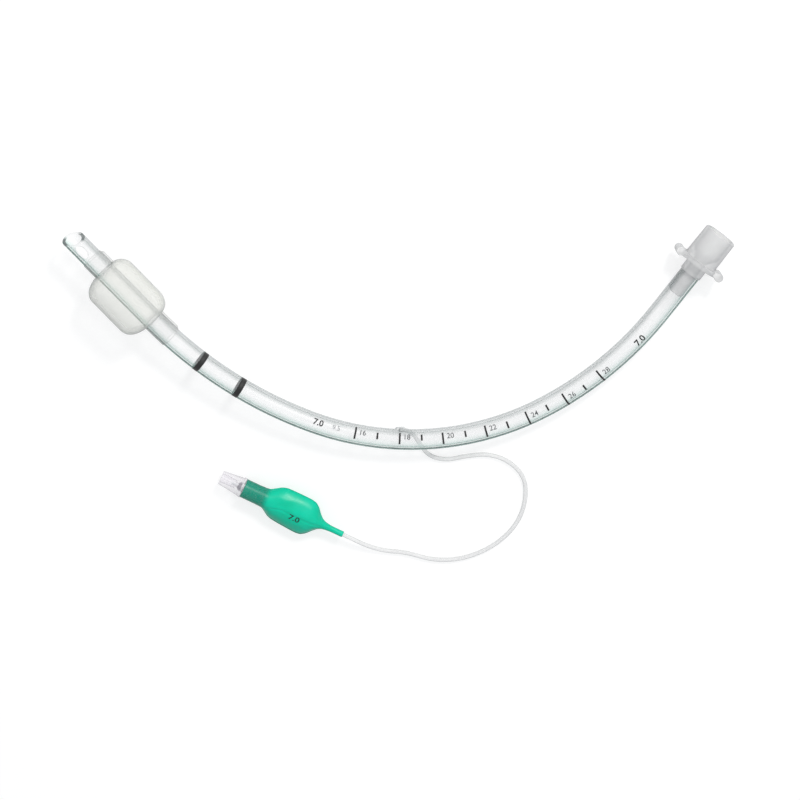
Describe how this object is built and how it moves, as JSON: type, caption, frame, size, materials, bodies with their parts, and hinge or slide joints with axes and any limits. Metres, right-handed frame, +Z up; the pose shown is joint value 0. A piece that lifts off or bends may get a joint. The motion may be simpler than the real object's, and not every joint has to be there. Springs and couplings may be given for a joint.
{
  "type": "endotracheal tube",
  "caption": "Curved clear airway tube with an inflatable cuff, a bevelled tip with a side eye, an eared cone connector, and an inflation line that ends in a pilot balloon and valve.",
  "frame": {"origin": "on the table, below the middle of the tube, cuff and connector; the inflation line and what is on it are not counted", "axes": "+Z up from the table, +X across the bend from the patient end to the machine end, +Y towards the hollow of the bend"},
  "size_m": [0.2952, 0.164, 0.0258],
  "materials": {
    "tube_wall": "clear soft plastic, faintly frosted",
    "stripe": "dark grey green line set in the wall",
    "cuff_film": "thin frosted film",
    "connector": "milky translucent moulding",
    "inflation_line": "clear soft plastic",
    "balloon_film": "sea green film",
    "valve_housing": "clear, faintly tinted",
    "valve_stem": "white moulding",
    "valve_seal": "soft matt rubber",
    "spring_steel": "bright drawn wire"
  },
  "bodies": {
    "airway": {"tube": "tube_wall", "radiopaque_stripe": "stripe", "lumen_plug": "tube_wall", "cuff": "cuff_film", "connector": "connector", "inflation_line": "inflation_line", "pilot_balloon": "balloon_film", "valve_housing": "valve_housing", "spring_retainer": "valve_stem", "valve_spring": "spring_steel"},
    "stem": {"valve_stem": "valve_stem", "valve_seal": "valve_seal"}
  },
  "joints": [
    {"name": "valve_stem_slide", "type": "slide", "parent": "airway", "child": "stem", "axis": [0.8988, -0.4384, 0], "range_m": [0, 0.0015], "stiffness_N_per_m": 880, "springref_m": -0.001, "deforming": ["valve_spring"]}
  ]
}
